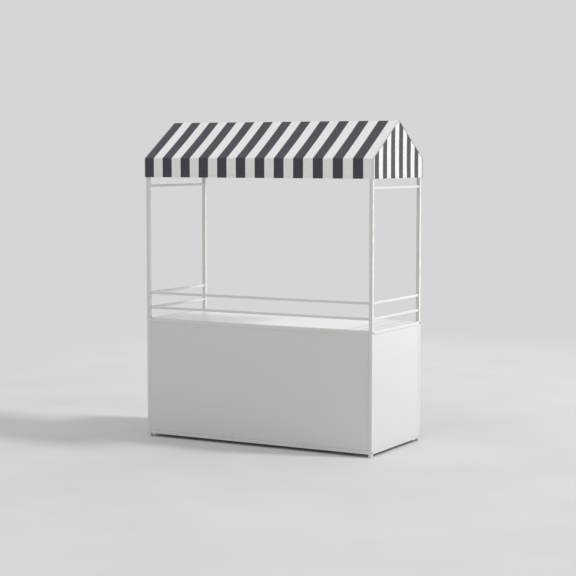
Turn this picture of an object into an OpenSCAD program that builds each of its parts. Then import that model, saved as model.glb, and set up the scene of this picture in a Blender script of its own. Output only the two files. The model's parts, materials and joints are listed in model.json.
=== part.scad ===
// Free-standing market stall: a square-tube frame with a panelled counter cabinet,
// guard rails round the counter, and a gable roof frame under a fitted cloth canopy.
// The origin is on the floor under the middle of the stall. +Z is up, the customer
// stands at -Y, and left and right are as the customer sees them.

/* [Frame] */
// Width over the outer faces of the posts
stall_w = 1600; // [1200:10:2000]
// Depth over the outer faces of the posts
stall_d = 690; // [500:10:900]
// Side of the square tube of the posts, cabinet rails and eave rails
post_tube = 22; // [20:1:30]
// Side of the square tube of the guard rails, cross rails and rafters
rail_tube = 15; // [12:1:17]
// Outer corner radius of every square tube
tube_r = 1.5; // [0.5:0.1:2.5]

/* [Feet] */
// Height of the plastic cap that closes each post at the floor
foot_h = 3; // [2:0.5:6]
// Gap between the floor and the underside of the bottom rails
floor_gap = 20; // [12:1:40]

/* [Cabinet] */
// Height of the countertop and of the rails round it
counter_h = 760; // [700:5:950]
// Thickness of the countertop board
counter_t = 6; // [3:0.5:7]
// Open joint between the countertop board and the rails round it
counter_gap = 0.8; // [0.4:0.1:0.9]
// Number of bars that carry the countertop board
bearer_count = 3; // [2:1:5]
// Thickness of the front and side panels
panel_t = 5; // [3:0.5:6]
// Set-back of the panels behind the outer faces of the rails
panel_inset = 1; // [0.5:0.1:2]
// Open joint between a panel and the tubes round it
panel_gap = 0.8; // [0.4:0.1:0.9]

/* [Shelves] */
// Height of the middle shelf's upper face
shelf_h = 398; // [250:1:550]
// Thickness of the two shelf boards
shelf_t = 4; // [2:0.5:6]
// Clearance of a shelf board to the panels and round the posts
shelf_gap = 0.5; // [0.3:0.1:0.9]

/* [Guard rails] */
// Height of the lower guard rail's centre line above the countertop
guard_low = 70; // [50:1:85]
// Spacing of the two guard rails, centre to centre
guard_pitch = 94; // [70:1:140]

/* [Roof frame] */
// Drop of the cross rails' centre line below the eave fold, at the two ends
cross_rail_drop = 175; // [140:1:260]
// Height of a rafter's square-cut nose on the outer face of its post
rafter_nose = 3.5; // [1:0.5:8]

/* [Canopy] */
// Height of the ridge over the cloth
ridge_h = 2010; // [1950:1:2100]
// Height of the eave fold over the cloth
eave_h = 1780; // [1740:1:1820]
// Drop of the valance below the eave fold
valance_drop = 120; // [80:5:160]
// Thickness of the cloth with its seams
cloth_t = 2; // [1:0.1:3]
// Gap between the posts' outer faces and the cloth that hangs over them
cloth_gap = 3; // [1:0.5:6]
// Gap between the roof frame and the cloth that lies on it
cloth_clear = 0.3; // [0.2:0.1:0.8]

/* [Hidden] */

STEEL = "#F2F1EE";
BOARD = "#F5F5F3";
CAP = "#D9D9D6";
CLOTH_LIGHT = "#F4F3F0";
CLOTH_DARK = "#4A4A55";
ARC_FN = 32;

LEFT = -1;
RIGHT = 1;
FRONT = -1;
BACK = 1;

half_w = stall_w / 2;
half_d = stall_d / 2;
post_x = half_w - post_tube / 2;
post_y = half_d - post_tube / 2;
bay_w = stall_w - 2 * post_tube;
bay_d = stall_d - 2 * post_tube;

bottom_rail_top = floor_gap + post_tube;
top_rail_base = counter_h - post_tube;
panel_h = top_rail_base - bottom_rail_top - 2 * panel_gap;
// Clear depth that a panel and its set-back take from the outer face of the frame
lining = panel_inset + panel_t;
guard_z = [counter_h + guard_low, counter_h + guard_low + guard_pitch];

canopy_w = stall_w + 2 * (cloth_gap + cloth_t);
canopy_half_d = half_d + cloth_gap + cloth_t;
roof_angle = atan2(ridge_h - eave_h, canopy_half_d);
// Height of the cloth's upper face at a distance y from the ridge line
function roof_z(y) = ridge_h - abs(y) * tan(roof_angle);
// Vertical reach of a thickness that is measured square to the slope
function slope_drop(t) = t / cos(roof_angle);
rafter_skin = cloth_t + cloth_clear;
post_top = roof_z(half_d) - slope_drop(rafter_skin) - rafter_nose;
valance_base = eave_h - valance_drop;
cross_rail_z = eave_h - cross_rail_drop;
// Inner corner of the cloth at the eave fold
fold_y = canopy_half_d - cloth_t;
fold_z = roof_z(fold_y) - slope_drop(cloth_t);
ridge_inner_z = ridge_h - slope_drop(cloth_t);

// Square outline with rounded corners, centred on the origin
module tube_section(side) {
    flat = side - 2 * tube_r;
    square([side, flat], center = true);
    square([flat, side], center = true);
    for (x = [-1, 1], y = [-1, 1])
        translate([x * flat / 2, y * flat / 2]) circle(r = tube_r, $fn = ARC_FN);
}

module tube_up(side, length) {
    linear_extrude(height = length) tube_section(side);
}

// Tube along X, centred on x = 0
module tube_across(side, length) {
    translate([-length / 2, 0, 0]) rotate([0, 90, 0]) tube_up(side, length);
}

// Tube along Y, centred on y = 0
module tube_deep(side, length) {
    translate([0, length / 2, 0]) rotate([90, 0, 0]) tube_up(side, length);
}

// Outline in Y and Z, extruded along X and centred on x = 0
module outline_across(points, length) {
    translate([-length / 2, 0, 0]) rotate([90, 0, 90])
        linear_extrude(height = length) polygon(points);
}

module foot(side_x, side_y) {
    color(CAP) translate([side_x * post_x, side_y * post_y, 0]) tube_up(post_tube, foot_h);
}

module post(side_x, side_y) {
    color(STEEL) translate([side_x * post_x, side_y * post_y, foot_h])
        tube_up(post_tube, post_top - foot_h);
}

// Cabinet or eave rail between two posts, along the front or the back
module long_rail(side_y, base_z) {
    color(STEEL) translate([0, side_y * post_y, base_z + post_tube / 2]) tube_across(post_tube, bay_w);
}

// Cabinet rail between two posts, at the left or the right end
module end_rail(side_x, base_z) {
    color(STEEL) translate([side_x * post_x, 0, base_z + post_tube / 2]) tube_deep(post_tube, bay_d);
}

module front_panel() {
    color(BOARD)
        translate([-bay_w / 2 + panel_gap, -half_d + panel_inset, bottom_rail_top + panel_gap])
            cube([bay_w - 2 * panel_gap, panel_t, panel_h]);
}

module end_panel(side_x) {
    color(BOARD)
        translate([side_x * (half_w - panel_inset - panel_t / 2), 0, bottom_rail_top + panel_gap + panel_h / 2])
            cube([panel_t, bay_d - 2 * panel_gap, panel_h], center = true);
}

// Board that drops in between the top rails, flush with them
module countertop() {
    color(BOARD) translate([0, 0, counter_h - counter_t / 2])
        cube([bay_w - 2 * counter_gap, bay_d - 2 * counter_gap, counter_t], center = true);
}

// Bars under the countertop board, from the front top rail to the back one
module counter_bearers() {
    pitch = bay_w / (bearer_count + 1);
    color(STEEL) for (i = [1:bearer_count])
        translate([i * pitch - bay_w / 2, 0, counter_h - counter_t - rail_tube / 2])
            tube_deep(rail_tube, bay_d);
}

// Board that reaches to the panels, notched round the four posts
module shelf_board(base_z) {
    reach = lining + shelf_gap;
    notch = post_tube + shelf_gap;
    color(BOARD) translate([0, 0, base_z]) linear_extrude(height = shelf_t) difference() {
        square([stall_w - 2 * reach, stall_d - 2 * reach], center = true);
        for (x = [-1, 1], y = [-1, 1])
            translate([x * (half_w - notch / 2), y * (half_d - notch / 2)])
                square(notch, center = true);
    }
}

// Tube that carries the middle shelf, just inside the front panel or along the open back
module shelf_rail(side_y) {
    color(STEEL)
        translate([0, side_y * (half_d - lining - panel_gap - rail_tube / 2), shelf_h - shelf_t - rail_tube / 2])
            tube_across(rail_tube, bay_w);
}

// Two guard rails between the front posts
module front_guard() {
    color(STEEL) for (z = guard_z)
        translate([0, -post_y, z]) tube_across(rail_tube, bay_w);
}

// Two guard rails between a front post and the back post behind it
module end_guard(side_x) {
    color(STEEL) for (z = guard_z)
        translate([side_x * post_x, 0, z]) tube_deep(rail_tube, bay_d);
}

module cross_rail(side_x) {
    color(STEEL) translate([side_x * post_x, 0, cross_rail_z]) tube_deep(rail_tube, bay_d);
}

// Sloping tube from a post to the ridge: plumb-cut at the ridge and at the nose,
// and level-cut where it seats on the post
module rafter(side_x, side_y) {
    axis_z = ridge_h - slope_drop(rafter_skin + rail_tube / 2);
    length = half_d / cos(roof_angle) + 2 * rail_tube;
    color(STEEL) intersection() {
        translate([side_x * post_x, 0, axis_z]) rotate([side_y * -roof_angle, 0, 0])
            translate([0, side_y * (length / 2 - rail_tube), 0]) tube_deep(rail_tube, length);
        translate([side_x * post_x - rail_tube, side_y > 0 ? 0 : -half_d, post_top])
            cube([2 * rail_tube, half_d, ridge_h - post_top]);
    }
}

module ridge_rail() {
    top_z = roof_z(rail_tube / 2) - slope_drop(rafter_skin);
    color(STEEL) translate([0, 0, top_z - rail_tube / 2])
        tube_across(rail_tube, stall_w - post_tube - rail_tube);
}

module canopy_slope(side_y) {
    color(CLOTH_DARK) outline_across([
        [0, ridge_h],
        [side_y * canopy_half_d, eave_h],
        [side_y * fold_y, fold_z],
        [0, ridge_inner_z]
    ], canopy_w);
}

module canopy_valance(side_y) {
    color(CLOTH_LIGHT) outline_across([
        [side_y * canopy_half_d, eave_h],
        [side_y * canopy_half_d, valance_base],
        [side_y * fold_y, valance_base],
        [side_y * fold_y, fold_z]
    ], canopy_w);
}

// End wall of the canopy, from the ridge to the valance's lower edge
module canopy_gable(side_x) {
    color(CLOTH_LIGHT) translate([side_x * (canopy_w / 2 - cloth_t / 2), 0, 0]) outline_across([
        [-fold_y, valance_base],
        [fold_y, valance_base],
        [fold_y, fold_z],
        [0, ridge_inner_z],
        [-fold_y, fold_z]
    ], cloth_t);
}

foot(LEFT, FRONT);  // foot_front_left
foot(RIGHT, FRONT);  // foot_front_right
foot(LEFT, BACK);  // foot_back_left
foot(RIGHT, BACK);  // foot_back_right
post(LEFT, FRONT);  // post_front_left
post(RIGHT, FRONT);  // post_front_right
post(LEFT, BACK);  // post_back_left
post(RIGHT, BACK);  // post_back_right
long_rail(FRONT, floor_gap);  // bottom_rail_front
long_rail(BACK, floor_gap);  // bottom_rail_back
end_rail(LEFT, floor_gap);  // bottom_rail_left
end_rail(RIGHT, floor_gap);  // bottom_rail_right
long_rail(FRONT, top_rail_base);  // top_rail_front
long_rail(BACK, top_rail_base);  // top_rail_back
end_rail(LEFT, top_rail_base);  // top_rail_left
end_rail(RIGHT, top_rail_base);  // top_rail_right
front_panel();
end_panel(LEFT);  // left_panel
end_panel(RIGHT);  // right_panel
countertop();
counter_bearers();
shelf_board(bottom_rail_top);  // bottom_shelf
shelf_board(shelf_h - shelf_t);  // middle_shelf
shelf_rail(FRONT);  // shelf_rail_front
shelf_rail(BACK);  // shelf_rail_back
front_guard();
end_guard(LEFT);  // left_guard
end_guard(RIGHT);  // right_guard
cross_rail(LEFT);  // cross_rail_left
cross_rail(RIGHT);  // cross_rail_right
long_rail(FRONT, post_top - post_tube);  // eave_rail_front
long_rail(BACK, post_top - post_tube);  // eave_rail_back
rafter(LEFT, FRONT);  // rafter_front_left
rafter(RIGHT, FRONT);  // rafter_front_right
rafter(LEFT, BACK);  // rafter_back_left
rafter(RIGHT, BACK);  // rafter_back_right
ridge_rail();
canopy_slope(FRONT);  // canopy_front_slope
canopy_slope(BACK);  // canopy_back_slope
canopy_valance(FRONT);  // canopy_front_valance
canopy_valance(BACK);  // canopy_back_valance
canopy_gable(LEFT);  // canopy_left_gable
canopy_gable(RIGHT);  // canopy_right_gable
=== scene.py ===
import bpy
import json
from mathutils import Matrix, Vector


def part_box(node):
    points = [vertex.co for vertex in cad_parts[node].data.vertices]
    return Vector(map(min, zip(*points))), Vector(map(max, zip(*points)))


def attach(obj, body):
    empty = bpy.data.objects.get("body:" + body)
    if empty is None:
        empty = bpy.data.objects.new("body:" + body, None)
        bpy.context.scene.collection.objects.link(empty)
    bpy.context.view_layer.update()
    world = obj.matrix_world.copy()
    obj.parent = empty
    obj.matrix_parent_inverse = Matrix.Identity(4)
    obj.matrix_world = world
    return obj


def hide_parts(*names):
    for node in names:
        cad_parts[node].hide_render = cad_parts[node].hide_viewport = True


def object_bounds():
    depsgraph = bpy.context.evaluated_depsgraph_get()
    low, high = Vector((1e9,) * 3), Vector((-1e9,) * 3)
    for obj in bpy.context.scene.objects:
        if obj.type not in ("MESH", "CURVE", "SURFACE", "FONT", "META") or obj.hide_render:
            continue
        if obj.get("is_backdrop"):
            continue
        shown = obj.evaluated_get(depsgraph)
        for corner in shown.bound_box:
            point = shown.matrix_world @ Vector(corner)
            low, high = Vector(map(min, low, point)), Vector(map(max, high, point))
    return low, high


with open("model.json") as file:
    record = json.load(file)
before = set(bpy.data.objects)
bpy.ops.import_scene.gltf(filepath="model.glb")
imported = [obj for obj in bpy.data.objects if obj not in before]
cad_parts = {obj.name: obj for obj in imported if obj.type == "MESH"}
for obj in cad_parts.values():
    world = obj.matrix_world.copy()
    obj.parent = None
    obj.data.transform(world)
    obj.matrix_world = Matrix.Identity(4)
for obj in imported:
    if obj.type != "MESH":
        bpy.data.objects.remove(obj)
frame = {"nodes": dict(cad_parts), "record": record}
cad_low, cad_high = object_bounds()
nodes = frame["nodes"]
cad_size = [round(high - low, 3) for low, high in zip(cad_low, cad_high)]
print("CAD nodes:", len(nodes), "box:", cad_size)

# %% [markdown]
# # A market stall, dressed in Blender
#
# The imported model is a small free-standing market stall: a frame of white powder-coated
# square tube, a cabinet closed with white boards, guard rails round the counter and a
# gable cover of striped woven cloth. It comes in as a fixed frame, in metres, with the
# origin on the floor under the middle, X to the customer's right, Y to the open back and
# Z up. Tubes and boards keep their CAD shape and get real finishes here. The cover's six
# plain solids are replaced by sewn cloth, with its hems, its corded edges and its
# stitches. Screws, weld beads and panel clips are added where the real stall has them.

# %% Tools and measures that every step uses
import json
from math import acos, atan2, copysign, cos, pi, radians, sin, sqrt, tan

import bpy
import numpy as np
from mathutils import Vector

MM = 0.001
FULL_TURN = 2.0 * pi
scene = bpy.context.scene


def add_object(name, data):
    """Puts a new object into the scene and hands it back."""
    piece = bpy.data.objects.new(name, data)
    scene.collection.objects.link(piece)
    return piece


def count(piece):
    """Triangles of a piece as it renders."""
    evaluated = piece.evaluated_get(bpy.context.evaluated_depsgraph_get())
    mesh = evaluated.to_mesh()
    mesh.calc_loop_triangles()
    total = len(mesh.loop_triangles)
    evaluated.to_mesh_clear()
    return total


# %% [markdown]
# ## The camera
#
# The photograph was taken with a long lens from the customer's side, about 29 degrees to
# the right of the stall's front and at roof height. Place, turn and lens come from a fit
# of the stall's own edges. The lens has no shift here: a slight downward tilt frames the
# stall the same way, and keeps it centred in every other view.

# %% Camera
image_side = 576
focal_in_pixels = 1602.6
film_width = 36.0
camera_place = (4.936, -8.8258, 1.7958)
turn_left = 29.022
tilt_down = 4.721

camera_data = bpy.data.cameras.new("camera")
camera_data.sensor_width = film_width
camera_data.lens = film_width * focal_in_pixels / image_side
camera_data.clip_end = 400.0
camera = add_object("camera", camera_data)
camera.location = camera_place
camera.rotation_euler = (radians(90.0 - tilt_down), 0.0, radians(turn_left))
scene.camera = camera
scene.view_settings.view_transform = "Standard"
print("lens", round(camera_data.lens, 1), "mm")

# %% [markdown]
# ## Building node trees in a script
#
# Materials and Geometry Nodes are both trees of nodes. One tree at a time lies on the
# bench, and small helpers add to it, so that the recipes below stay short: `feed` sets an
# input to a plain value or wires another node's output into it, `make` adds a node with
# its inputs, and `new_group` opens a tree with named inputs and outputs, so that the same
# effect can be placed in several materials with different values. The others are one
# node each: arithmetic, a soft ramp, a mix of colours, a noise, a vector and a bump.

# %% Helpers for node trees
NUMBER = "NodeSocketFloat"
WHOLE = "NodeSocketInt"
VECTOR = "NodeSocketVector"
GEOMETRY = "NodeSocketGeometry"
MATERIAL = "NodeSocketMaterial"
OBJECT = "NodeSocketObject"


class Bench:
    """The tree that is being built, its title and the node that it ends in."""

    title = ""
    tree = None
    end = None


def spaced(values):
    """The same values under names with spaces, as sockets are called."""
    return {name.replace("_", " "): value for name, value in values.items()}


def feed(node, socket, source):
    """Sets an input to a plain value, or wires another node's output into it."""
    if isinstance(source, bpy.types.NodeSocket):
        Bench.tree.links.new(source, node.inputs[socket])
    else:
        node.inputs[socket].default_value = source


def make(kind, inputs=None, out=0, **settings):
    """Adds a node, sets its options, feeds its inputs and hands back one output or all."""
    node = Bench.tree.nodes.new(kind)
    for name, value in settings.items():
        setattr(node, name, value)
    for socket, source in (inputs or {}).items():
        feed(node, socket, source)
    return node.outputs if out is None else node.outputs[out]


def calc(operation, first, second=0.0, third=0.0, clamp=False):
    """One step of arithmetic between numbers or outputs."""
    inputs = {0: first, 1: second, 2: third}
    return make("ShaderNodeMath", inputs, operation=operation, use_clamp=clamp)


def scaled(value, factor, plus=0.0, clamp=False):
    """A value times a factor, plus something."""
    return calc("MULTIPLY_ADD", value, factor, plus, clamp)


def ramp(value, low, high, out_low=0.0, out_high=1.0):
    """Eases a value from out_low to out_high while it goes from low to high."""
    inputs = {0: value, 1: low, 2: high, 3: out_low, 4: out_high}
    settings = {"interpolation_type": "SMOOTHSTEP", "clamp": True}
    return make("ShaderNodeMapRange", inputs, **settings)


def blend(factor, first, second):
    """Mixes two colours."""
    return make("ShaderNodeMix", {0: factor, 6: first, 7: second}, data_type="RGBA", out=2)


def tint(colour, factor):
    """Makes a colour lighter or darker by a factor around 1."""
    inputs = {0: colour[:3], "Scale": factor}
    return make("ShaderNodeVectorMath", inputs, operation="SCALE")


def own_place():
    """Where a point lies in the piece's own coordinates, in metres."""
    return make("ShaderNodeTexCoord", out="Object")


def vector(x=0.0, y=0.0, z=0.0):
    """Joins three numbers into a vector."""
    return make("ShaderNodeCombineXYZ", {"X": x, "Y": y, "Z": z})


def upward_part(source):
    """The Z of a vector."""
    return make("ShaderNodeSeparateXYZ", {0: source}, out="Z")


def noise(place, scale, detail):
    """Soft random values around 0.5; scale is how many lumps lie in one unit of place."""
    inputs = {"Vector": place, "Scale": scale, "Detail": detail}
    return make("ShaderNodeTexNoise", inputs, out="Fac")


def bumped(height, distance, **below):
    """A normal that follows a height; Normal names a broader bump that it lies on."""
    inputs = {"Height": height, "Distance": distance, "Strength": 1.0, **below}
    return make("ShaderNodeBump", inputs)


def open_tree(title, tree, end):
    """Lays an empty tree on the bench, with the node that it will end in."""
    tree.nodes.clear()
    Bench.title = title
    Bench.tree = tree
    Bench.end = tree.nodes.new(end)


def new_material(name):
    """A node material with nothing in it but its output."""
    material = bpy.data.materials.new(name)
    material.use_nodes = True
    open_tree(name, material.node_tree, "ShaderNodeOutputMaterial")
    return material


def new_group(name, results=("Mesh",), **inputs):
    """Opens a group; each named input has a number to start from or a kind of socket."""
    makes_mesh = results == ("Mesh",)
    tree = bpy.data.node_groups.new(name, "GeometryNodeTree" if makes_mesh else "ShaderNodeTree")
    for title, value in spaced(inputs).items():
        kind = {float: NUMBER, int: WHOLE}.get(type(value), value)
        socket = tree.interface.new_socket(title, in_out="INPUT", socket_type=kind)
        if kind != value:
            socket.default_value = value
    for title in results:
        kind = GEOMETRY if makes_mesh else NUMBER
        tree.interface.new_socket(title, in_out="OUTPUT", socket_type=kind)
    if makes_mesh:
        tree.is_modifier = True
    open_tree(name, tree, "NodeGroupOutput")
    return tree, make("NodeGroupInput", out=None)


def close_tree(**results):
    """Wires the results to the node that the tree ends in and says how large it is."""
    for name, source in spaced(results).items():
        feed(Bench.end, name, source)
    print(Bench.title, "has", len(Bench.tree.nodes), "nodes")


def place_group(group, **inputs):
    """Puts a finished group into a material and feeds its named inputs."""
    return make("ShaderNodeGroup", spaced(inputs), node_tree=group, out=None)


# %% [markdown]
# ## Studio: world, floor and lamps
#
# The stall stands on a wide pale floor that melts into the backdrop, so no horizon cuts
# the picture from any side. The world gives soft light all round at a plain level. What
# the camera, mirrors and glass see of it is the pale backdrop colour, chosen by ray type,
# so that the backdrop never adds light to the stall.

# %% World and backdrop colour
backdrop = (0.665, 0.67, 0.675, 1.0)
ambient = (0.694, 0.687, 0.671, 1.0)

world = bpy.data.worlds.new("studio")
world.use_nodes = True
scene.world = world
open_tree("world", world.node_tree, "ShaderNodeOutputWorld")


def seen_directly():
    """1 for rays from the camera and for those that gloss or glass sends on."""
    path = make("ShaderNodeLightPath", out=None)
    total = calc("ADD", path["Is Camera Ray"], path["Is Glossy Ray"])
    return calc("ADD", total, path["Is Transmission Ray"], clamp=True)


sky_colour = blend(seen_directly(), ambient, backdrop)
sky = make("ShaderNodeBackground", {"Color": sky_colour, "Strength": 1.0})
close_tree(Surface=sky)

# %% Floor
floor_reach = 90.0
floor_sides = 96
fade_from = 1.6
fade_to = 7.5
floor_colour = (0.69, 0.683, 0.67, 1.0)

floor_mesh = bpy.data.meshes.new("floor")
bearings = np.linspace(0, FULL_TURN, floor_sides, False)
rim = [(floor_reach * cos(a), floor_reach * sin(a), 0.0) for a in bearings]
floor_mesh.from_pydata(rim, [], [list(range(floor_sides))])
floor = add_object("floor", floor_mesh)

floor_finish = new_material("floor_finish")
place = own_place()
distance = make("ShaderNodeVectorMath", {0: place}, operation="LENGTH", out="Value")
cloudy = ramp(noise(place, 1.3, 5.0), 0.3, 0.7, 0.975, 1.025)
near_floor = make("ShaderNodeBsdfDiffuse", {"Color": tint(floor_colour, cloudy)})
far_floor = make("ShaderNodeEmission", {"Color": backdrop, "Strength": 1.0})
fading = scaled(ramp(distance, fade_from, fade_to), seen_directly())
from_above = make("ShaderNodeMixShader", {0: fading, 1: near_floor, 2: far_floor})
clear = make("ShaderNodeBsdfTransparent")
under = make("ShaderNodeNewGeometry", out="Backfacing")
both_sides = make("ShaderNodeMixShader", {0: under, 1: from_above, 2: clear})
close_tree(Surface=both_sides)
floor_mesh.materials.append(floor_finish)
floor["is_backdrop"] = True

# %% [markdown]
# Three soft lamps shape the light as in the photograph. There the roof throws its shadow
# on the left front part of the counter, and the right face of the left front post is dim
# while those of the other posts are bright. So the key stands high on the customer's
# right and a little behind the stall. The front stays in the even light of the room. A
# low lamp behind the right corner puts a pale sheen on the right end, and a weak one
# behind the left corner does the same for the countertop. No lamp shows itself.

# %% Lamps
lamps_aim_at = Vector((0.0, 0.0, 1.0))


def soft_lamp(name, towards, distance, size, level, colour=(1.0, 1.0, 1.0)):
    """A square area lamp that adds `level` to a white surface that faces it."""
    data = bpy.data.lights.new(name, "AREA")
    data.shape = "SQUARE"
    data.size = size
    data.color = colour
    data.energy = level * pi ** 2 * distance ** 2
    lamp = add_object(name, data)
    direction = Vector(towards).normalized()
    lamp.location = lamps_aim_at + direction * distance
    lamp.rotation_euler = direction.to_track_quat("Z", "Y").to_euler()
    lamp.visible_camera = False
    print("lamp", name, "has", round(data.energy), "W")


key_place = {"towards": (0.70, 0.20, 0.685), "distance": 36.0, "size": 5.0}
right_place = {"towards": (0.42, 0.90, -0.045), "distance": 8.0, "size": 1.2}
left_place = {"towards": (-0.45, 0.87, 0.12), "distance": 6.0, "size": 2.8}
soft_lamp("key", level=0.475, colour=(0.945, 0.975, 1.0), **key_place)
soft_lamp("low_right", level=0.155, colour=(0.985, 0.993, 1.0), **right_place)
soft_lamp("low_left", level=0.055, **left_place)

# %% [markdown]
# ## Effects that several finishes share
#
# Three groups are built once. *Powder skin* is the faint orange peel that a baked powder
# coat and a moulded board both have: a very low bump and a slow drift of tone. *Settled
# dust* is a mask for the little dirt that gathers near the floor and on faces that look
# up. *Plain weave* lays warp and weft over and under each other at thread scale, with the
# thicker stretches of yarn that make real cloth look lively from a distance.

# %% Group: powder skin
results = ("Height", "Tone", "Gloss Drift")
skin, entry = new_group("powder_skin", results, Place=VECTOR, Peel_Size=0.0016, Drift=0.02)
peel = noise(entry["Place"], calc("DIVIDE", 1.0, entry["Peel Size"]), 1.5)
slow = calc("SUBTRACT", noise(entry["Place"], 2.6, 3.0), 0.5)
drift = scaled(slow, entry["Drift"], 1.0)
handled = noise(entry["Place"], 19.0, 4.0)
close_tree(Height=peel, Tone=drift, Gloss_Drift=handled)

# %% Group: settled dust
dust, entry = new_group("settled_dust", ("Mask",), Place=VECTOR, Reach=0.12, Amount=0.3)
facing = make("ShaderNodeNewGeometry", out="Normal")
height = upward_part(entry["Place"])
near_floor = calc("SUBTRACT", 1.0, ramp(height, 0.0, entry["Reach"]))
on_top = ramp(upward_part(facing), 0.6, 1.0, 0.0, 0.35)
broken = ramp(noise(entry["Place"], 34.0, 6.0), 0.35, 0.75, 0.35, 1.0)
gathered = scaled(calc("MAXIMUM", near_floor, on_top), broken)
close_tree(Mask=scaled(gathered, entry["Amount"], clamp=True))

# %% Group: plain weave
results = ("Height", "Slub", "Reed", "Yarn Tone")
sizes = {"Thread": 0.00055, "Slub_Length": 0.009, "Reed_Gap": 0.007}
weave, entry = new_group("plain_weave", results, Cloth=VECTOR, **sizes)
cut = make("ShaderNodeSeparateXYZ", {0: entry["Cloth"]}, out=None)


def cut_over(axis, size):
    """A place on the cut cloth, counted in steps of a size."""
    return calc("DIVIDE", cut[axis], size)


def yarn(along, across, sign):
    """Height of one set of yarns: round across, and waving over and under along."""
    part_way = scaled(calc("FRACT", across), pi)
    number = calc("FLOOR", across)
    phase = calc("ADD", calc("SUBTRACT", along, 0.5), number)
    wave = calc("COSINE", scaled(phase, pi))
    lifted = scaled(wave, 0.5 * sign, 0.5)
    return scaled(calc("SINE", part_way), lifted)


def thick_stretches(step_across, step_along, layer):
    """Noise drawn out along one yarn direction: where the yarn is a little thicker."""
    spot = vector(cut_over("X", step_across), cut_over("Y", step_along), layer)
    return noise(spot, 1.0, 1.0)


warp_count = cut_over("X", entry["Thread"])
weft_count = cut_over("Y", entry["Thread"])
warp = yarn(weft_count, warp_count, 1.0)
weft = yarn(warp_count, weft_count, -1.0)
threads = calc("MAXIMUM", warp, weft)
narrow = scaled(entry["Slub Length"], 0.28)
warp_slub = thick_stretches(narrow, entry["Slub Length"], 0.0)
weft_slub = thick_stretches(entry["Slub Length"], narrow, 3.7)
slub = scaled(calc("ADD", warp_slub, weft_slub), 0.5)
reed_spot = vector(cut_over("X", entry["Reed Gap"]), scaled(cut["Y"], 3.0))
reed = noise(reed_spot, 1.0, 1.0)
tone = scaled(slub, 0.34, 0.675)
tone = scaled(reed, 0.20, tone)
tone = scaled(threads, 0.10, tone)
close_tree(Height=threads, Slub=slub, Reed=reed, Yarn_Tone=tone)

# %% [markdown]
# ## Powder-coated steel
#
# The tubes are steel with a baked coat of warm white powder: satin, never mirror-like,
# with a fine orange peel that only shows where light glances off it. The lesson here is
# restraint. One colour that drifts by a percent or two, a roughness that varies a little,
# a bump of three hundredths of a millimetre and a trace of dust at the foot already read
# as paint.

# %% Finish: frame steel
steel_colour = (0.710, 0.703, 0.686, 1.0)
dust_colour = (0.42, 0.39, 0.34, 1.0)


def surface(colour, roughness, normal, **constants):
    """Adds the shader of a finish; whatever is constant is set on its own sockets."""
    inputs = {"Base Color": colour, "Roughness": roughness, "Normal": normal}
    shader = make("ShaderNodeBsdfPrincipled", inputs | spaced(constants))
    close_tree(Surface=shader)


def painted(name, colour, roughness, peel_height, dust_amount):
    """A coat of paint with orange peel, a slow drift of tone and a trace of dust."""
    material = new_material(name)
    place = own_place()
    coat = place_group(skin, Place=place, Peel_Size=0.0016, Drift=0.05)
    dirt = place_group(dust, Place=place, Reach=0.10, Amount=dust_amount)["Mask"]
    shade = blend(dirt, tint(colour, coat["Tone"]), dust_colour)
    worn = scaled(coat["Gloss Drift"], 0.14, roughness - 0.07)
    rough = scaled(dirt, 0.35, worn, clamp=True)
    normal = bumped(coat["Height"], peel_height)
    surface(shade, rough, normal, Specular_IOR_Level=0.5)
    return material


frame_steel = painted("frame_steel_white", steel_colour, 0.50, 0.00003, 0.22)

# %% [markdown]
# ## White board
#
# The cabinet's boards are smooth, matt and a touch cooler than the frame. A thin board
# shows two things besides its face: the sawn edge, where the core is rougher, and the
# very slight hollows of a large flat sheet. The face direction of each board is known, so
# the edge is found by comparing the surface's normal with it. The countertop and the
# shelves are of a slightly whiter and smoother board than the panels, as the lit part of
# the counter in the photograph shows.

# %% Finish: boards
board_colour = (0.666, 0.666, 0.661, 1.0)
counter_colour = (0.80, 0.80, 0.795, 1.0)
board_core = (0.66, 0.65, 0.62, 1.0)


def board_finish(name, face_direction, roughness, colour=board_colour):
    """A board whose large faces look along face_direction."""
    material = new_material(name)
    place = own_place()
    coat = place_group(skin, Place=place, Peel_Size=0.0009, Drift=0.03)
    dirt = place_group(dust, Place=place, Reach=0.09, Amount=0.14)["Mask"]
    facing = make("ShaderNodeNewGeometry", out="Normal")
    inputs = {0: facing, 1: face_direction}
    dot = make("ShaderNodeVectorMath", inputs, operation="DOT_PRODUCT", out="Value")
    edge = calc("LESS_THAN", calc("ABSOLUTE", dot), 0.5)
    clean = blend(edge, tint(colour, coat["Tone"]), board_core)
    shade = blend(dirt, clean, dust_colour)
    smooth = scaled(coat["Gloss Drift"], 0.08, roughness - 0.04)
    rough = scaled(edge, 0.35, smooth, clamp=True)
    hollows = bumped(noise(place, 3.4, 0.0), 0.0010)
    fine = bumped(coat["Height"], 0.000012, Normal=hollows)
    surface(shade, rough, fine, Specular_IOR_Level=0.9)
    return material


board_front = board_finish("board_white_front", (0.0, 1.0, 0.0), 0.52)
board_end = board_finish("board_white_end", (1.0, 0.0, 0.0), 0.52)
board_flat = board_finish("board_white_flat", (0.0, 0.0, 1.0), 0.40, counter_colour)

# %% [markdown]
# ## Moulded plastic
#
# Each post stands on a moulded end cap. Moulded plastic of this kind has a fine spark
# texture that takes the shine off, and it picks up dirt first, because it is on the floor.

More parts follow.
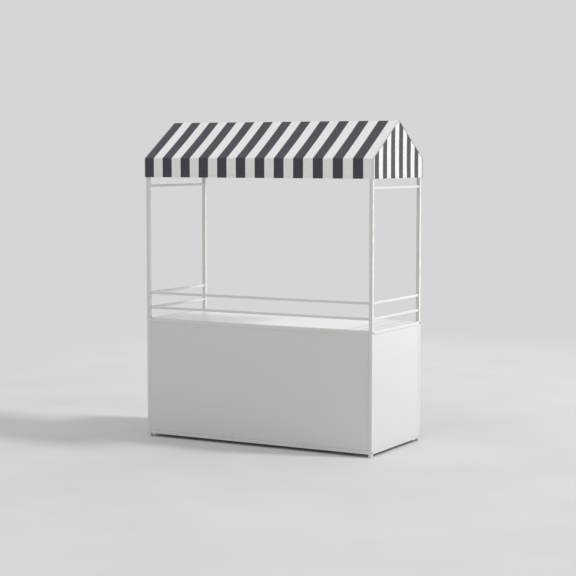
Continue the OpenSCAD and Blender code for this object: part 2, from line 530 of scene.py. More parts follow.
# %% Finish: end caps
cap_colour = (0.78, 0.765, 0.73, 1.0)
cap_plastic = new_material("cap_plastic")
place = own_place()
coat = place_group(skin, Place=place, Peel_Size=0.0004, Drift=0.06)
dirt = place_group(dust, Place=place, Reach=0.006, Amount=0.45)["Mask"]
shade = blend(dirt, tint(cap_colour, coat["Tone"]), dust_colour)
rough = scaled(coat["Gloss Drift"], 0.1, 0.5)
surface(shade, rough, bumped(coat["Height"], 0.00004))

# %% Put the finishes on the CAD nodes
finish_of = {
    "frame_steel": frame_steel,
    "foot_cap": cap_plastic,
    "front_panel": board_front,
    "left_panel": board_end,
    "right_panel": board_end,
    "countertop": board_flat,
    "bottom_shelf": board_flat,
    "middle_shelf": board_flat,
}
slot_of = {part["node"]: part["material_slot"] for part in frame["record"]["subparts"]}
finished = 0
for name, node in nodes.items():
    finish = finish_of.get(name) or finish_of.get(slot_of[name])
    if finish is None:
        continue
    if not node.material_slots:
        node.data.materials.append(finish)
    for holder in node.material_slots:
        holder.material = finish
    finished += 1
print("finished:", finished, "CAD nodes")

# %% [markdown]
# ## Striped cloth
#
# The cover is woven in equal stripes of dark grey and white, so the stripes are in the
# yarn and show on both sides. Each cloth mesh carries three things for its finish: a UV
# map in metres, laid out as the cloth was cut, a number that counts the stripes, and the
# distance to the nearest sewn line. The weave follows the first, the colour the second,
# and the small puckers that every seam draws into cloth follow the third. The tone of the
# yarn is deepened on dark stripes and held back on light ones, so that both keep their
# weave in full light.

# %% Finish: cloth
cloth_light = (0.888, 0.89, 0.895, 1.0)
cloth_dark = (0.048, 0.048, 0.067, 1.0)
inside_light = (0.82, 0.82, 0.81, 1.0)
inside_dark = (0.085, 0.085, 0.094, 1.0)
dark_share = 0.508
dark_contrast = 3.6
edge_wander = 0.005
pucker_reach = 0.014


def attribute(name):
    """Reads a named value that the mesh carries."""
    return make("ShaderNodeAttribute", attribute_name=name, out="Fac")


def striped_cloth(name, light, dark, sheen):
    """Cloth with woven stripes, slubs, a plain weave and puckers along the seams."""
    material = new_material(name)
    cloth = make("ShaderNodeUVMap", uv_map="cloth", out="UV")
    yarns = place_group(weave, Cloth=cloth, Thread=0.00055, Slub_Length=0.014)
    wander = noise(cloth, 900.0, 2.0)
    nudge = scaled(wander, edge_wander, -edge_wander / 2)
    counted = calc("ADD", attribute("stripe"), nudge)
    pair = calc("FRACT", scaled(counted, 0.5))
    is_light = calc("GREATER_THAN", pair, dark_share)
    faded = ramp(noise(cloth, 4.0, 3.0), 0.25, 0.75, 0.985, 1.015)
    tone = scaled(yarns["Yarn Tone"], faded)
    dark_yarn = tint(dark, calc("POWER", tone, dark_contrast))
    light_yarn = tint(light, calc("MINIMUM", tone, 1.0))
    shade = blend(is_light, dark_yarn, light_yarn)
    near_seam = ramp(attribute("seam"), 0.0, pucker_reach, 1.0, 0.0)
    drawn = scaled(near_seam, noise(cloth, 85.0, 1.0))
    lumps = calc("ADD", yarns["Slub"], yarns["Reed"])
    relief = scaled(yarns["Height"], 0.00009)
    relief = scaled(lumps, 0.0028, relief)
    relief = scaled(drawn, 0.0011, relief)
    rough = scaled(yarns["Slub"], 0.2, 0.62)
    matt = {"Diffuse_Roughness": 0.1, "Sheen_Weight": sheen, "Sheen_Roughness": 0.45}
    surface(shade, rough, bumped(relief, 1.0), **matt)
    return material


stripe_outside = striped_cloth("cloth_striped", cloth_light, cloth_dark, 0.12)
stripe_inside = striped_cloth("cloth_striped_inside", inside_light, inside_dark, 0.04)

# %% Finish: corded edge
# The cord's mid grey is painted shade: the real cord is white cloth, and the grey stands for the
# shade along the seam.
cord_grey_painted_shade = (0.50, 0.50, 0.51, 1.0)
edge_cord = new_material("edge_cord_cloth")
fine = noise(own_place(), 1500.0, 2.0)
gathers = vector(scaled(attribute("run"), 260.0))
ruck = noise(gathers, 1.0, 1.0)
relief = scaled(ruck, 0.0006, scaled(fine, 0.00012))
shade = tint(cord_grey_painted_shade, ramp(ruck, 0.3, 0.7, 0.96, 1.03))
rough = scaled(fine, 0.15, 0.70)
surface(shade, rough, bumped(relief, 1.0), Sheen_Weight=0.1)

# %% Finish: thread
thread_colour = (0.30, 0.30, 0.31, 1.0)
thread = new_material("sewing_thread")
twist = noise(own_place(), 2600.0, 1.0)
shade = tint(thread_colour, ramp(twist, 0.3, 0.7, 0.85, 1.1))
rough = scaled(twist, 0.2, 0.42)
surface(shade, rough, bumped(twist, 0.00008))

# %% [markdown]
# ## The cover's long sheet
#
# One length of cloth runs from the front hem up over the front eave, over the ridge and
# down to the back hem, so it is modelled as one continuous sheet. Its section is a line
# of points in the Y-Z plane. Sharp corners would look like card, so the eave folds and the
# ridge are arcs, and each hem is a real fold: the cloth turns back on itself and runs up
# the inside. The section is swept along X, and every point is then pushed in or out a
# little: the roof sags between its rafters by up to 3 mm, and the hanging flaps wave by
# about a millimetre at their free edge.

# %% Section of the long sheet
cloth_half_width = 0.805
cloth_half_depth = 0.350
flap_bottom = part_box("canopy_front_valance")[0].z
eave_height = 1.780
ridge_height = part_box("canopy_front_slope")[1].z
skin_middle = 0.001
cloth_thick = 0.0008
hem_height = 0.017
hem_turn = 0.0006
eave_radius = 0.0055
ridge_radius = 0.009

roof_angle = atan2(ridge_height - eave_height, cloth_half_depth)
flap_y = -cloth_half_depth + skin_middle
slope_drop = skin_middle / cos(roof_angle)
eave_corner = np.array([flap_y, eave_height - slope_drop + skin_middle * tan(roof_angle)])
ridge_corner = np.array([0.0, ridge_height - slope_drop])


def corner_arc(before, corner, after, radius, steps):
    """Points of the arc that rounds one corner of a section."""
    back = (before - corner) / np.linalg.norm(before - corner)
    onward = (after - corner) / np.linalg.norm(after - corner)
    half = acos(float(back @ onward)) / 2
    middle = corner + (back + onward) / np.linalg.norm(back + onward) * radius / sin(half)
    start = corner + back * radius / tan(half) - middle
    end = corner + onward * radius / tan(half) - middle
    turn = pi - 2 * half
    arc = []
    for share in np.linspace(0.0, 1.0, steps + 1):
        first = sin((1 - share) * turn) / sin(turn)
        second = sin(share * turn) / sin(turn)
        arc.append(middle + start * first + end * second)
    return arc


def hem_fold(outer, bottom):
    """From the top of the turned-in strip, down inside and round to the outer face."""
    centre = bottom + cloth_thick / 2 + hem_turn
    middle = outer + hem_turn
    inner = outer + 2 * hem_turn
    rows = [(inner, z) for z in np.linspace(bottom + hem_height, centre, 4)]
    for angle in np.linspace(0.0, pi, 6)[1:]:
        rows.append((middle + hem_turn * cos(angle), centre - hem_turn * sin(angle)))
    return [np.array(row) for row in rows]


fold = corner_arc(np.array([flap_y, flap_bottom]), eave_corner, ridge_corner, eave_radius, 6)
ridge_arc = corner_arc(eave_corner, ridge_corner, eave_corner * (-1, 1), ridge_radius, 8)
hem_rows = hem_fold(flap_y, flap_bottom)
flap_rows = [np.array([flap_y, z]) for z in np.linspace(hem_rows[-1][1], fold[0][1], 14)[1:-1]]
up_the_slope = np.linspace(0.0, 1.0, 32)[1:-1]
slope_rows = [fold[-1] + (ridge_arc[0] - fold[-1]) * share for share in up_the_slope]
front_half = hem_rows + flap_rows + fold + slope_rows
section = np.array(front_half + ridge_arc + [p * (-1, 1) for p in reversed(front_half)])
outer_from = len(hem_rows) - 1
outside = slice(outer_from, len(section) - outer_from)
steps = np.linalg.norm(np.diff(section, axis=0), axis=1)
along = np.concatenate([[0.0], np.cumsum(steps)])

# %% How far each point of the sheet is pushed
sheet_half_width = 0.804
rafter_place = 0.786
roof_sag = 0.0028
roof_ripple = 0.00025
flap_sway = 0.0009
dice = np.random.default_rng(41)


def waves(x, longest, shortest, parts):
    """A gentle random wave of about +-1, the same on each run."""
    total = np.zeros_like(x)
    for length in np.geomspace(longest, shortest, parts):
        phase = dice.uniform(0.0, FULL_TURN)
        total += np.sin(FULL_TURN * x / length + phase)
    return total / sqrt(parts)


def outward_directions(section):
    """Directions at right angles to the section; straight out on the hanging flaps."""
    tangent = np.gradient(section, axis=0)
    tangent /= np.linalg.norm(tangent, axis=1)[:, None]
    out = np.stack([-tangent[:, 1], tangent[:, 0]], axis=1)
    hanging = section[:, 1] < fold[0][1] + 1e-6
    out[hanging] = np.stack([np.sign(section[hanging, 0]), np.zeros(hanging.sum())], axis=1)
    return out


columns = np.linspace(-sheet_half_width, sheet_half_width, 203)
between_rafters = np.clip(1.0 - (np.abs(columns) / rafter_place) ** 6, 0.0, None)
towards_ends = 1.0 - (np.abs(columns) / sheet_half_width) ** 10
out = outward_directions(section)
up_slope = np.clip((section[:, 1] - fold[-1][1]) / (ridge_arc[0][1] - fold[-1][1]), 0.0, 1.0)
below_fold = np.clip((fold[0][1] - section[:, 1]) / (fold[0][1] - flap_bottom), 0.0, 1.0)
push = np.zeros((len(section), len(columns)))
for side in (-1, 1):
    rows = np.sign(section[:, 0]) == side
    on_slope = np.sin(pi * up_slope[rows])[:, None]
    on_flap = below_fold[rows][:, None] ** 1.6
    sag = roof_sag * on_slope * between_rafters
    ripple = roof_ripple * on_slope * waves(columns, 0.5, 0.11, 4) * towards_ends
    sway = flap_sway * on_flap * waves(columns, 0.62, 0.17, 3) * towards_ends
    push[rows] = ripple - sag + sway
print("deepest sag", round(float(-push.min()) * 1000, 2), "mm")

# %% The long sheet
def carry(mesh, title, values, kind="FLOAT", domain="POINT"):
    """Stores a named value on every point or face of a mesh."""
    store = mesh.attributes.new(title, kind, domain)
    field = "vector" if kind == "FLOAT_VECTOR" else "value"
    store.data.foreach_set(field, np.ravel(values).astype(bool if kind == "BOOLEAN" else np.float32))


def cloth_mesh(name, points, cloth_uv, stripe, seam):
    """A grid of cloth with its UV map in metres, its stripe count and its seam distance."""
    rows, cols = points.shape[:2]
    mesh = bpy.data.meshes.new(name)
    index = np.arange(rows * cols).reshape(rows, cols)
    corners = [index[:-1, :-1], index[:-1, 1:], index[1:, 1:], index[1:, :-1]]
    quads = np.stack(corners, axis=-1).reshape(-1, 4)
    mesh.from_pydata(points.reshape(-1, 3).tolist(), [], quads.tolist())
    layer = mesh.uv_layers.new(name="cloth")
    corner_points = np.zeros(len(mesh.loops), dtype=np.int32)
    mesh.loops.foreach_get("vertex_index", corner_points)
    layer.data.foreach_set("uv", cloth_uv.reshape(-1, 2)[corner_points].astype(np.float32).ravel())
    carry(mesh, "stripe", stripe)
    carry(mesh, "seam", seam)
    mesh.polygons.foreach_set("use_smooth", [True] * len(mesh.polygons))
    mesh.materials.append(stripe_outside)
    mesh.materials.append(stripe_inside)
    piece = add_object(name, mesh)
    wall = piece.modifiers.new("cloth thickness", "SOLIDIFY")
    wall.thickness = cloth_thick
    wall.offset = 0.0
    wall.material_offset = 1
    return piece


grid = np.zeros(push.shape + (3,))
grid[:, :, 0] = columns
grid[:, :, 1:] = section[:, None, :] + out[:, None, :] * push[:, :, None]
stripe_width = 2.0 * cloth_half_width / 24.0
across = np.broadcast_to(columns + cloth_half_width, push.shape)
length_wise = np.broadcast_to(along[:, None], push.shape)
hem_seam = flap_bottom + hem_height - 0.002
to_hem = np.abs(section[:, 1] - hem_seam)[:, None]
seam = np.minimum(to_hem, cloth_half_width - np.abs(columns))
cut_places = np.stack([across, length_wise], -1)
canopy_top = cloth_mesh("canopy_top", grid, cut_places, across / stripe_width, seam)
print("canopy_top:", count(canopy_top), "triangles")

# %% [markdown]
# ## The two gable ends
#
# Each end of the cover is a five-sided piece of the same cloth with its stripes upright.
# The two ends are one cut used twice, so the left one is the right one turned round. A
# column of points runs up from the folded hem to the roof line, and each is as high as
# the roof is there. The cloth hangs almost flat and leans in by a millimetre or two
# between its corded edges.

# %% Gable ends
gable_edge = cloth_half_depth - skin_middle - 0.0006
gable_plane = cloth_half_width - skin_middle
gable_columns = np.linspace(0.0, 2.0 * gable_edge, 93)
gable_first_dark = 0.0195
gable_stripe = 0.05603
gable_shoulder = eave_height - 0.009
gable_lean = 0.0013
gable_sway = 0.0007


def gable_end(name, side):
    """One end of the cover; side is 1 on the right and -1 on the left."""
    y = side * (gable_columns - gable_edge)
    level = [tuple(row) for row in hem_fold(0.0, flap_bottom)]
    level += [(0.0, z) for z in np.linspace(level[-1][1], gable_shoulder, 14)[1:]]
    roof_line = ridge_corner[1] - np.abs(y) * tan(roof_angle) - 0.0004
    roof_line = np.minimum(roof_line, ridge_arc[4][1] - 0.0002)
    rows = [(np.full_like(y, inset), np.full_like(y, z)) for inset, z in level]
    for share in np.linspace(0.0, 1.0, 30)[1:]:
        rows.append((np.zeros_like(y), gable_shoulder + (roof_line - gable_shoulder) * share))
    inset = np.array([row[0] for row in rows])
    z = np.array([row[1] for row in rows])
    middle = 1.0 - (y / gable_edge) ** 2
    tall = np.sin(pi * np.clip((z - flap_bottom) / (roof_line - flap_bottom), 0.0, 1.0))
    free = np.clip((eave_height - z) / (eave_height - flap_bottom), 0.0, 1.0) ** 1.6
    inner = 1.0 - (np.abs(y) / gable_edge) ** 8
    lean = gable_lean * middle * tall + gable_sway * free * waves(y, 0.41, 0.15, 3) * inner
    grid = np.zeros(z.shape + (3,))
    grid[:, :, 0] = side * (gable_plane - inset - lean)
    grid[:, :, 1] = y
    grid[:, :, 2] = z
    climbed = np.cumsum(np.hypot(np.diff(z, axis=0), np.diff(inset, axis=0)), 0)
    rise = np.concatenate([np.zeros((1, len(y))), climbed])
    cut = np.stack([np.broadcast_to(gable_columns, z.shape), rise], -1)
    stripes = np.broadcast_to((gable_columns - gable_first_dark) / gable_stripe, z.shape)
    to_edge = np.minimum(gable_edge - np.abs(y), (roof_line - z) * cos(roof_angle))
    seam = np.minimum(np.abs(z - hem_seam), np.clip(to_edge, 0.0, None))
    piece = cloth_mesh(name, grid, cut, stripes, seam)
    lengths = rise[-1]
    area = float(np.sum((lengths[1:] + lengths[:-1]) / 2 * np.diff(gable_columns)))
    return piece, grid, area, float(lengths.max())


canopy_right, right_grid, gable_area, gable_length = gable_end("canopy_end_right", 1)
canopy_left, left_grid = gable_end("canopy_end_left", -1)[:2]
print("gable ends:", count(canopy_right), "triangles each,", round(gable_area, 4), "m2 of cloth each")

# %% [markdown]
# ## Geometry Nodes for whatever repeats or follows a line
#
# Corded edges, stitches, screws, clips and weld beads all follow the same idea: a small
# mesh of points or edges says where, a node tree says what, and named inputs say how big.
# The tree is run once, its result is kept as a plain mesh and the modifier is taken off,
# so that every later tool sees ordinary faces.

# %% Helpers for Geometry Nodes
def guide(name, chains, closed=False, **directions):
    """A mesh of lines for a tree to follow, each point with its named directions."""
    points = []
    edges = []
    for chain in chains:
        first = len(points)
        points.extend(tuple(p) for p in chain)
        edges.extend((first + i, first + i + 1) for i in range(len(chain) - 1))
        if closed:
            edges.append((len(points) - 1, first))
    mesh = bpy.data.meshes.new(name)
    mesh.from_pydata(points, edges, [])
    for title, vectors in directions.items():
        carry(mesh, title, vectors, "FLOAT_VECTOR")
    return mesh


def run_tree(name, guide_mesh, tree, **inputs):
    """Runs a tree on a guide and keeps the result as a plain mesh object."""
    piece = add_object(name, guide_mesh)
    modifier = piece.modifiers.new(tree.name, "NODES")
    modifier.node_group = tree
    wanted = spaced(inputs)
    for item in tree.interface.items_tree:
        if item.in_out == "INPUT" and item.name in wanted:
            modifier[item.identifier] = wanted[item.name]
    graph = bpy.context.evaluated_depsgraph_get()
    result = piece.evaluated_get(graph)
    made = bpy.data.meshes.new_from_object(result, preserve_all_data_layers=True, depsgraph=graph)
    piece.modifiers.remove(modifier)
    piece.data = made
    made.name = name
    bpy.data.meshes.remove(guide_mesh)
    print(name + ":", count(piece), "triangles")
    return piece


def carried(name, kind="FLOAT_VECTOR"):
    """Reads a named value that the guide or the mesh carries."""
    node = "GeometryNodeInputNamedAttribute"
    return make(node, {"Name": name}, data_type=kind, out="Attribute")


def curve_of(lines):
    """Turns the guide's edges into curves."""
    return make("GeometryNodeMeshToCurve", {"Mesh": lines})


def even_points(curve, gap):
    """Divides a curve into equal steps."""
    inputs = {"Curve": curve, "Length": gap}
    return make("GeometryNodeResampleCurve", inputs, mode="LENGTH")


def run_along():
    """How far each point of a curve lies from its start."""
    return make("GeometryNodeSplineParameter", out="Length")


def sweep(curve, sides, radius, scale=1.0):
    """Carries a small circle along a curve and closes both ends."""
    inputs = {"Resolution": sides, "Radius": radius}
    ring = make("GeometryNodeCurvePrimitiveCircle", inputs)
    inputs = {"Curve": curve, "Profile Curve": ring, "Scale": scale, "Fill Caps": True}
    return make("GeometryNodeCurveToMesh", inputs)


def instances(points, shape, primary, secondary, scale, axes):
    """One turned copy of a shape at every point; axes names the two that are aligned."""
    inputs = {"Primary Axis": primary, "Secondary Axis": secondary}
    settings = {"primary_axis": axes[0], "secondary_axis": axes[1]}
    turned = make("FunctionNodeAxesToRotation", inputs, **settings)
    inputs = {"Points": points, "Instance": shape, "Rotation": turned, "Scale": scale}
    return make("GeometryNodeInstanceOnPoints", inputs)


def realized(geometry):
    """Turns instances into real faces."""
    return make("GeometryNodeRealizeInstances", {"Geometry": geometry})


def dress(geometry, material, **only):
    """Gives a geometry its material; Selection names the faces that get it."""
    inputs = {"Geometry": geometry, "Material": material, **only}
    return make("GeometryNodeSetMaterial", inputs)


def finish_tree(geometry, material):
    """Realizes what was instanced, smooths it and gives it its material."""
    smooth = make("GeometryNodeSetShadeSmooth", {"Geometry": realized(geometry)})
    close_tree(Mesh=dress(smooth, material))


# %% [markdown]
# ## Corded edges
#
# In the photograph a thin pale line runs along both gable edges and down the corners of
# the cover. It is a corded edge: a strip of white cloth round a thin cord, caught in the
# seam between the long sheet and the gable end. Its finish is mid grey, which is painted
# shade: the shade line along the seam, laid on the cord as colour. The tree sweeps a small
# circle along the seam and stores how far it has come, so that the finish can gather the
# cloth across it.

# %% Tree: cord along a seam
sizes = {"Cord_Radius": 0.0025, "Sides": 12}
cord_tree, entry = new_group("corded_edge", Seam=GEOMETRY, **sizes, Cloth=MATERIAL)
seam_curve = curve_of(entry["Seam"])
inputs = {"Geometry": seam_curve, "Value": run_along(), "Name": "run"}
measured = make("GeometryNodeStoreNamedAttribute", inputs, domain="POINT")
cord = sweep(measured, entry["Sides"], entry["Cord Radius"])
finish_tree(cord, entry["Cloth"])

# %% Corded edges of both ends
edge_line = section[outside] + out[outside] * 0.0002
seam_x = cloth_half_width - 0.0004
edge_chains = [[(side * seam_x, y, z) for y, z in edge_line] for side in (-1, 1)]
corded_edges = run_tree("corded_edges", guide("seams", edge_chains), cord_tree, Cloth=edge_cord)

# %% [markdown]
# ## Stitches
#
# The hems and the seams beside the cord are sewn with a lockstitch of grey thread. One
# stitch is a short capsule of thread, a few dozen faces at most, laid along the line and
# sunk halfway into the cloth. The guide carries the direction that looks out of the
# cloth, and the tree turns each stitch to lie flat in it.

# %% Tree: a line of stitches
sizes = {"Pitch": 0.0034, "Stitch_Length": 0.0027, "Thread_Width": 0.0005, "Seed": 7}
stitch_tree, entry = new_group("line_of_stitches", Line=GEOMETRY, **sizes, Thread=MATERIAL)
stitch_points = even_points(curve_of(entry["Line"]), entry["Pitch"])
inputs = {"Segments": 6, "Rings": 4, "Radius": 0.5}
ball = make("GeometryNodeMeshUVSphere", inputs, out="Mesh")
flattened = scaled(entry["Thread Width"], 0.8)
stretch = vector(entry["Stitch Length"], entry["Thread Width"], flattened)
inputs = {"Geometry": ball, "Scale": stretch}
capsule = make("GeometryNodeTransform", inputs)
tangent = make("GeometryNodeInputTangent")
out_of_cloth = carried("out")
inputs = {2: 0.9, 3: 1.08, "Seed": entry["Seed"]}
uneven = make("FunctionNodeRandomValue", inputs, out=1)
stitches = instances(stitch_points, capsule, tangent, out_of_cloth, uneven, "XZ")
finish_tree(stitches, entry["Thread"])

# %% Lines that are sewn
lift = cloth_thick / 2 + 0.00008
hem_line = flap_bottom + hem_height - 0.003
side_seam = 0.797
gable_seam_inset = 0.006
sewn = []
sewn_out = []


def sew(points, direction):
    """Adds one sewn line, lifted to the surface of the cloth along its directions."""
    points = np.array(points, dtype=float)
    directions = np.broadcast_to(np.array(direction, dtype=float), points.shape)
    sewn.append(points + directions * lift)
    sewn_out.extend(directions.tolist())


for side in (-1, 1):
    other_face = section[:, 0] * side < cloth_half_depth - 0.0012
    row = int(np.argmin(np.abs(section[:, 1] - hem_line) + 10.0 * other_face))
    following = row - side
    share = (hem_line - section[row, 1]) / (section[following, 1] - section[row, 1])
    sew(grid[row] + (grid[following] - grid[row]) * share, (0.0, side, 0.0))
up_the_side = np.insert(out[outside], 0, 0.0, axis=1)
for x in (-side_seam, side_seam):
    column = int(np.argmin(np.abs(columns - x)))
    sew(grid[outside, column], up_the_side)
for side, end_grid in ((1, right_grid), (-1, left_grid)):
    heights = end_grid[outer_from:outer_from + 14, 0, 2]
    row = outer_from + int(np.argmin(np.abs(heights - hem_line)))
    sew(end_grid[row], (side, 0.0, 0.0))
    y = end_grid[0, :, 1]
    y = y[np.abs(y) < gable_edge - gable_seam_inset]
    peak = ridge_corner[1] - gable_seam_inset / cos(roof_angle)
    top = peak - np.abs(y) * tan(roof_angle)
    foot = flap_bottom + 0.002
    climb = [(y[0], z) for z in np.linspace(foot, top[0], 24)[:-1]]
    descent = [(y[-1], z) for z in np.linspace(top[-1], foot, 24)[1:]]
    outline = climb + list(zip(y, top)) + descent
    sew([(side * gable_plane, *point) for point in outline], (side, 0.0, 0.0))
sewn_guide = guide("sewn_lines", sewn, out=sewn_out)
stitching = run_tree("stitching", sewn_guide, stitch_tree, Thread=thread)

# %% [markdown]
# ## Screws through the posts
#
# Two dark dots show on the side of each post in the photograph, one at the height of the
# cabinet's top rail and one at the bottom rail. They read as dark grey button-head screws
# that go through the post into the end of each long rail. The head is turned here point
# by point: a low dome whose middle sinks into a six-sided socket. The tree then puts one
# head at each place and paints the socket near black: partly dark bare metal and partly
# painted shade of the recess.

# %% Shape: button-head screw
crisp_above = 38.0


def flagged_mesh(name, points, faces, flags):
    """A closed mesh, smooth but for its sharp turns; flagged faces get a special finish."""
    mesh = bpy.data.meshes.new(name)
    mesh.from_pydata(points, [], faces)
    carry(mesh, "special", flags, "BOOLEAN", "FACE")
    mesh.polygons.foreach_set("use_smooth", [True] * len(mesh.polygons))
    mesh.set_sharp_from_angle(angle=radians(crisp_above))
    print(name, "has", len(faces), "faces")
    return mesh


def revolved(rings, around):
    """A closed head from rings of (height, radius, six_sided) in mm: points, faces, flags."""
    points = []
    faces = []
    flags = []
    for height, radius, six_sided in rings:
        for step in range(around):
            angle = FULL_TURN * step / around
            reach = radius
            if six_sided:
                reach = radius * cos(pi / 6) / cos((angle % (pi / 3)) - pi / 6)
            points.append((reach * cos(angle) * MM, reach * sin(angle) * MM, height * MM))
    for ring in range(len(rings) - 1):
        for step in range(around):
            following = (step + 1) % around
            low = ring * around
            high = low + around
            faces.append((low + step, low + following, high + following, high + step))
            flags.append(rings[ring + 1][2] and rings[ring][2])
    faces.append(tuple(range((len(rings) - 1) * around, len(rings) * around)))
    flags.append(rings[-1][2])
    faces.append(tuple(reversed(range(around))))
    flags.append(False)
    return points, faces, flags


dome = [(-0.1, 5.20), (0.5, 5.25), (1.1, 5.05), (1.9, 4.35), (2.5, 3.45), (2.75, 2.75)]
socket = [(2.70, 2.40), (1.2, 2.31), (0.9, 1.2)]
head_rings = [(*ring, False) for ring in dome] + [(*ring, True) for ring in socket]
head_mesh = flagged_mesh("button_head", *revolved(head_rings, 24))
button_head = add_object("button_head", head_mesh)

# %% Tree: the same fitting at every place
kinds = {"Places": GEOMETRY, "Fitting": OBJECT, "Paint": MATERIAL, "Special_Paint": MATERIAL}
fitting_tree, entry = new_group("fitting_at_each_place", **kinds, Size=1.0)
inputs = {"Object": entry["Fitting"]}
shape = make("GeometryNodeObjectInfo", inputs, out="Geometry")
outward = carried("out")
upright = carried("up")
fitted = instances(entry["Places"], shape, outward, upright, entry["Size"], "ZX")
whole = dress(realized(fitted), entry["Paint"])
special = carried("special", "BOOLEAN")
both = dress(whole, entry["Special Paint"], Selection=special)
close_tree(Mesh=both)

# %% Finish: screw heads
screw_colour = (0.20, 0.20, 0.20, 1.0)
# The socket's near black is partly dark metal and partly painted shade of the recess.
socket_colours_and_painted_shade = ((0.03, 0.03, 0.032, 1.0), (0.075, 0.072, 0.07, 1.0))
zinc_colours = ((0.50, 0.49, 0.46, 1.0), (0.72, 0.72, 0.70, 1.0))


def mottled_metal(name, colours, scale, detail, height, smooth, rougher, metallic):
    """Metal whose colour, gloss and bump all follow one fine noise."""
    material = new_material(name)
    spots = noise(own_place(), scale, detail)
    rough = scaled(spots, rougher, smooth)
    normal = bumped(spots, height)
    surface(blend(spots, *colours), rough, normal, Metallic=metallic)
    return material


screw_paint = painted("screw_paint", screw_colour, 0.34, 0.00001, 0.10)
socket_metal_and_painted_shade = mottled_metal("screw_socket", socket_colours_and_painted_shade, 800.0, 2.0, 0.00005, 0.35, 0.2, 0.6)
zinc = mottled_metal("zinc_plate", zinc_colours, 420.0, 3.0, 0.00003, 0.24, 0.25, 1.0)

# %% Screws on the posts
post_low, post_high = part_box("post_front_right")
post_y = (post_low.y + post_high.y) / 2
long_rails = ("bottom_rail_front", "top_rail_front")
rail_heights = [sum(corner.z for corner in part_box(rail)) / 2 for rail in long_rails]
screw_places = [
    (side * post_high.x, depth * post_y, z)
    for side in (-1, 1)
    for depth in (-1, 1)
    for z in rail_heights
]
screw_out = [(copysign(1.0, x), 0.0, 0.0) for x, y, z in screw_places]
screw_turns = [0.3, 1.1, 2.0, 0.7, 1.6, 0.1, 0.9, 2.4]
screw_up = [(0.0, sin(turn), cos(turn)) for turn in screw_turns]
screw_guide = guide("screw_places", [[p] for p in screw_places], out=screw_out, up=screw_up)
paints = {"Paint": screw_paint, "Special_Paint": socket_metal_and_painted_shade}
post_screws = run_tree("post_screws", screw_guide, fitting_tree, Fitting=button_head, **paints)
bpy.data.objects.remove(button_head)

# %% [markdown]
# ## Weld beads
#
# The end frames are welded: each guard rail and each cross rail stands on its posts with a
# small bead round it, painted over with the rest. A bead is a swept circle whose size
# rises and falls as the weld pool did. The flush rails of the cabinet were ground off on
# their faces, so there the bead is left only above and below.

# %% Tree: weld bead
sizes = {"Bead_Radius": 0.0014, "Ripple_Pitch": 0.0017, "Ripple": 0.16, "Seed": 3.0}
bead_tree, entry = new_group("weld_bead", Joint=GEOMETRY, **sizes, Paint=MATERIAL)
step_length = scaled(entry["Ripple Pitch"], 0.25)
bead_line = even_points(curve_of(entry["Joint"]), step_length)
turns = calc("DIVIDE", run_along(), entry["Ripple Pitch"])
wave = calc("SINE", scaled(turns, FULL_TURN))
inputs = {
    0: make("GeometryNodeInputPosition"),
    1: vector(entry["Seed"], entry["Seed"]),
}
shifted = make("ShaderNodeVectorMath", inputs, operation="ADD")
lumps = scaled(noise(shifted, 240.0, 1.0), 0.5, 0.75)
swell = scaled(wave, entry["Ripple"], lumps)
bead = sweep(bead_line, 8, entry["Bead Radius"], swell)
finish_tree(bead, entry["Paint"])

# %% Beads of the end frames
post_inner_y = abs(post_low.y) - (post_high.y - post_low.y)
panel_inner_x = min(abs(corner.x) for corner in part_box("right_panel"))
bead_short_of_corner = 0.0022


def square_loop(x, y, z, half, corner=0.0015, steps=3):
    """A rounded square in the X-Z plane round the end of a tube."""
    loop = []
    for sx, sz, start in ((1, 1, 0.0), (-1, 1, 0.5), (-1, -1, 1.0), (1, -1, 1.5)):
        for step in range(steps + 1):
            angle = (start + 0.5 * step / steps) * pi
            px = x + sx * (half - corner) + corner * cos(angle)
            pz = z + sz * (half - corner) + corner * sin(angle)
            loop.append((px, y, pz))
    return loop


loops = []
for rail in ("left_guard", "right_guard", "cross_rail_left", "cross_rail_right"):
    low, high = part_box(rail)
    half = (high.x - low.x) / 2
    levels = {round(low.z + half, 5), round(high.z - half, 5)}
    for z in sorted(levels):
        for y in (-post_inner_y, post_inner_y):
            loops.append(square_loop((low.x + high.x) / 2, y, z, half))
round_guide = guide("round_joints", loops, closed=True)
rail_beads = run_tree("weld_beads_round", round_guide, bead_tree, Paint=frame_steel)

short_lines = []
for side in (-1, 1):
    for y in (-post_inner_y, post_inner_y):
        for rail in ("bottom_rail_right", "top_rail_right"):
            low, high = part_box(rail)
            for z in (high.z, low.z):
                beside_panel = (z == high.z) == (rail == "bottom_rail_right")
                inner = low.x + bead_short_of_corner
                outer = (panel_inner_x if beside_panel else high.x) - bead_short_of_corner
                short_lines.append([(side * x, y, z) for x in np.linspace(inner, outer, 5)])
flat_guide = guide("flat_joints", short_lines)
bead_size = {"Paint": frame_steel, "Bead_Radius": 0.0012}
flat_beads = run_tree("weld_beads_flat", flat_guide, bead_tree, **bead_size)

# %% [markdown]
# ## Clips behind the panels
#
# Seen from the open back, each panel is held by small bent steel clips: one leg is
# screwed to the frame and the other to the back of the board. The photograph cannot show
# them, so they follow what such knock-down stalls have. A clip is one strip bent square,
# with rounded tips and a screw in each leg, and the same tree as for the screws sets it
# behind every panel.

# %% Shape: bent clip with two screws
clip_leg = 0.0165
clip_back = 0.0140
clip_thick = 0.0014
clip_half_width = 0.0090
clip_corner = 0.0040
clip_bend = 0.0024
screw_from_tip = 0.006


def width_near_tip(to_tip):
    """Half width of the clip at a distance from its tip, where its corners are rounded."""
    short = max(clip_corner - to_tip, 0.0)
    return clip_half_width - clip_corner + sqrt(clip_corner ** 2 - short ** 2)


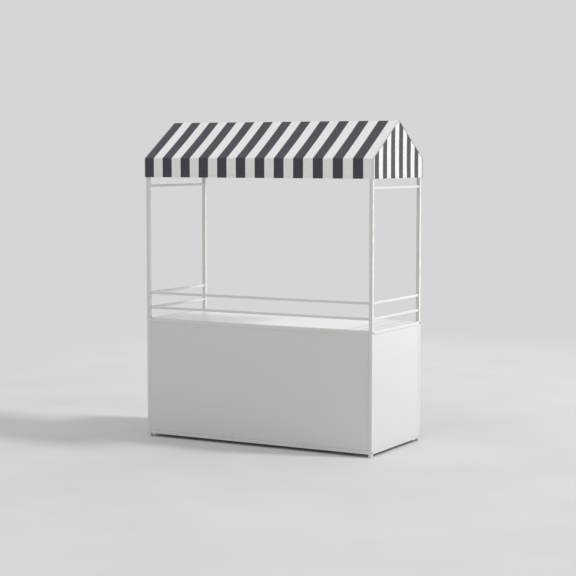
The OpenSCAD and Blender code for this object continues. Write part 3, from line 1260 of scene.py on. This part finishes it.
def bent_strip():
    """A strip bent square: a four-cornered section carried from one tip to the other."""
    half_thick = clip_thick / 2
    from_tip = [clip_corner * (1.0 - cos(0.5 * pi * step / 5)) for step in range(6)]
    path = [(clip_leg - gone, half_thick, 0.0, 1.0, width_near_tip(gone)) for gone in from_tip]
    for step in range(7):
        angle = pi * (1.5 - 0.5 * step / 6)
        inward = (-cos(angle), -sin(angle))
        x, z = (clip_bend - (clip_bend - half_thick) * share for share in inward)
        path.append((x, z, *inward, clip_half_width))
    for gone in reversed(from_tip):
        path.append((half_thick, clip_back - gone, 1.0, 0.0, width_near_tip(gone)))
    points = []
    for x, z, in_x, in_z, half_width in path:
        for inner, across_y in ((-1, -1), (-1, 1), (1, 1), (1, -1)):
            step_in = inner * half_thick
            points.append((x + step_in * in_x, across_y * half_width, z + step_in * in_z))
    faces = [(0, 1, 2, 3)]
    for ring in range(0, len(points) - 4, 4):
        for side in range(4):
            following = (side + 1) % 4
            faces.append((ring + side, ring + 4 + side, ring + 4 + following, ring + following))
    last = len(points) - 4
    faces.append((last + 3, last + 2, last + 1, last))
    return points, faces


clip_points, clip_faces = bent_strip()
clip_flags = [False] * len(clip_faces)
screw_profile = [(-0.1, 3.3), (0.9, 3.3), (1.6, 2.8), (2.0, 1.9), (2.05, 1.3), (1.2, 1.0)]
screw_rings = [(height, radius, radius < 1.5) for height, radius in screw_profile]
screw_points, screw_faces = revolved(screw_rings, 12)[:2]
for leg, on_back in ((clip_leg, False), (clip_back, True)):
    first = len(clip_points)
    moved = np.array(screw_points) + (leg - screw_from_tip, 0.0, clip_thick)
    if on_back:
        moved = moved[:, ::-1]
    clip_points.extend(map(tuple, moved))
    for face in screw_faces:
        clip_faces.append(tuple(first + i for i in (reversed(face) if on_back else face)))
    clip_flags.extend([True] * len(screw_faces))
clip_mesh = flagged_mesh("clip", clip_points, clip_faces, clip_flags)
clip = add_object("clip", clip_mesh)

# %% Clips behind the panels
front_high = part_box("front_panel")[1]
end_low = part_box("right_panel")[0]
rail_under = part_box("top_rail_front")[0].z
post_inner_x = min(abs(corner.x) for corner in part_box("post_front_right"))
clip_heights = (0.13, 0.30, 0.47, 0.65)
front_clips = (-0.52, -0.17, 0.17, 0.52)
end_clips = (-0.15, 0.15)
down = (0, 0, -1)

clip_places = [((x, front_high.y, rail_under), (0, 1, 0), down) for x in front_clips]
for side in (-1, 1):
    for z in clip_heights:
        clip_places.append(((side * post_inner_x, front_high.y, z), (0, 1, 0), (-side, 0, 0)))
        for end in (-1, 1):
            place = (side * end_low.x, end * post_inner_y, z)
            clip_places.append((place, (-side, 0, 0), (0, -end, 0)))
    for y in end_clips:
        clip_places.append(((side * end_low.x, y, rail_under), (-side, 0, 0), down))
corners, faces_of_boards, faces_of_frame = zip(*clip_places)
clip_chains = [[corner] for corner in corners]
clip_guide = guide("clip_places", clip_chains, out=faces_of_boards, up=faces_of_frame)
paints = {"Paint": frame_steel, "Special_Paint": zinc}
panel_clips = run_tree("panel_clips", clip_guide, fitting_tree, Fitting=clip, **paints)
bpy.data.objects.remove(clip)

# %% [markdown]
# ## The new pieces on the stall's body
#
# Every new piece rides on the stall's one body.

# %% Riding and replacing
cloth_pieces = [canopy_top, canopy_left, canopy_right, corded_edges, stitching]
steel_pieces = [post_screws, rail_beads, flat_beads, panel_clips]
for piece in cloth_pieces:
    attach(piece, "root")
for piece in steel_pieces:
    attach(piece, "root")
print("riding on root:", len(cloth_pieces + steel_pieces), "pieces")
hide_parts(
    "canopy_front_slope",
    "canopy_back_slope",
    "canopy_front_valance",
    "canopy_back_valance",
)
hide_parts("canopy_left_gable")
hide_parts("canopy_right_gable")

# %% Sizes
visual_low, visual_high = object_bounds()
sizes = {
    "cad": [list(cad_low), list(cad_high)],
    "visual": [list(visual_low), list(visual_high)],
}
past_cad = [round((a - b) * 1000, 1) for a, b in zip(visual_high, cad_high)]
print("visual box stands out by", past_cad, "mm")
